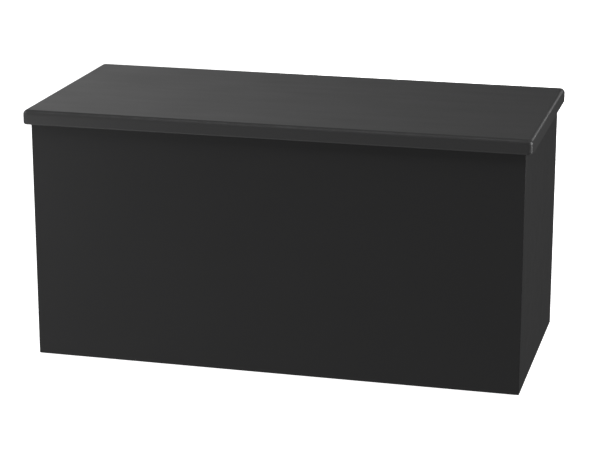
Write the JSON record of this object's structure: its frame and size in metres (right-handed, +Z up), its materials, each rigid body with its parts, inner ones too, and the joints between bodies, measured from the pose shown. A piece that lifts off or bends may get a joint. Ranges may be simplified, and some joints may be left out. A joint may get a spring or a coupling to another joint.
{
  "type": "storage bench",
  "caption": "Long low storage bench: a plain black board box with a thick hinged lid that oversails it, has a rounded top edge, and serves as the seat.",
  "frame": {"origin": "on the floor, under the centre of the closed lid", "axes": "+X to the bench's right and along its length, -Y out of its front, +Z up"},
  "size_m": [0.874, 0.41, 0.443],
  "materials": {
    "black_lacquered_board": "fibreboard with a smooth black satin lacquer",
    "black_melamine_board": "board faced in black melamine, fine matt texture",
    "pine": "bare planed pine",
    "beech": "bare fluted beech",
    "zinc_alloy": "die-cast zinc, dull",
    "zinc_plated_steel": "bright zinc plate",
    "nickel_plated_steel": "satin nickel plate",
    "black_plastic": "moulded, matt",
    "damper_plastic": "moulded, fine spark texture",
    "glide_nylon": "moulded nylon",
    "clear_bumper": "clear soft polyurethane"
  },
  "bodies": {
    "carcass": {"front_panel": "black_lacquered_board", "back_panel": "black_lacquered_board", "left_side_panel": "black_lacquered_board", "right_side_panel": "black_lacquered_board", "base_panel": "black_melamine_board", "front_cleat": "pine", "back_cleat": "pine", "left_cleat": "pine", "right_cleat": "pine", "corner_cams": "zinc_alloy", "corner_cam_bolts": "zinc_plated_steel", "corner_dowels": "beech", "cam_cover_caps": "black_plastic", "cleat_screws": "zinc_plated_steel", "base_panel_screws": "zinc_plated_steel", "floor_glides": "glide_nylon", "lid_bumpers": "clear_bumper", "hinge_body_screws": "zinc_plated_steel", "left_hinge_body_leaf": "zinc_plated_steel", "left_hinge_pin": "zinc_plated_steel", "middle_hinge_body_leaf": "zinc_plated_steel", "middle_hinge_pin": "zinc_plated_steel", "right_hinge_body_leaf": "zinc_plated_steel", "right_hinge_pin": "zinc_plated_steel", "left_stay_housing": "damper_plastic", "left_stay_cover": "damper_plastic", "left_stay_housing_screws": "zinc_plated_steel", "right_stay_housing": "damper_plastic", "right_stay_cover": "damper_plastic", "right_stay_housing_screws": "zinc_plated_steel"},
    "lid": {"lid_panel": "black_lacquered_board", "hinge_lid_screws": "zinc_plated_steel", "left_hinge_lid_leaf": "zinc_plated_steel", "middle_hinge_lid_leaf": "zinc_plated_steel", "right_hinge_lid_leaf": "zinc_plated_steel", "left_stay_lid_bracket": "nickel_plated_steel", "left_stay_bracket_pin": "zinc_plated_steel", "left_stay_bracket_screws": "zinc_plated_steel", "right_stay_lid_bracket": "nickel_plated_steel", "right_stay_bracket_pin": "zinc_plated_steel", "right_stay_bracket_screws": "zinc_plated_steel"},
    "left_stay_arm": {"left_stay_arm": "nickel_plated_steel", "left_stay_rotor": "zinc_alloy", "left_stay_elbow_rivet": "zinc_plated_steel"},
    "left_stay_link": {"left_stay_link": "nickel_plated_steel"},
    "right_stay_arm": {"right_stay_arm": "nickel_plated_steel", "right_stay_rotor": "zinc_alloy", "right_stay_elbow_rivet": "zinc_plated_steel"},
    "right_stay_link": {"right_stay_link": "nickel_plated_steel"}
  },
  "joints": [
    {"name": "lid_hinge", "type": "hinge", "parent": "carcass", "child": "lid", "pos_m": [0, 0.2004, 0.4146], "axis": [-1, 0, 0], "range_deg": [0, 95]},
    {"name": "left_stay_arm_pivot", "type": "hinge", "parent": "carcass", "child": "left_stay_arm", "pos_m": [-0.38985, 0.0884, 0.3526], "axis": [-1, 0, 0], "range_deg": [0, 95]},
    {"name": "left_stay_elbow", "type": "hinge", "parent": "left_stay_arm", "child": "left_stay_link", "pos_m": [-0.38585, -0.0366, 0.346], "axis": [-1, 0, 0], "range_deg": [-95, 0]},
    {"name": "right_stay_arm_pivot", "type": "hinge", "parent": "carcass", "child": "right_stay_arm", "pos_m": [0.38985, 0.0884, 0.3526], "axis": [-1, 0, 0], "range_deg": [0, 95]},
    {"name": "right_stay_elbow", "type": "hinge", "parent": "right_stay_arm", "child": "right_stay_link", "pos_m": [0.38585, -0.0366, 0.346], "axis": [-1, 0, 0], "range_deg": [-95, 0]}
  ],
  "couplings": [
    {"joint": "left_stay_arm_pivot", "follows": "lid_hinge", "ratio": 1},
    {"joint": "left_stay_elbow", "follows": "lid_hinge", "ratio": -1},
    {"joint": "right_stay_arm_pivot", "follows": "lid_hinge", "ratio": 1},
    {"joint": "right_stay_elbow", "follows": "lid_hinge", "ratio": -1}
  ]
}
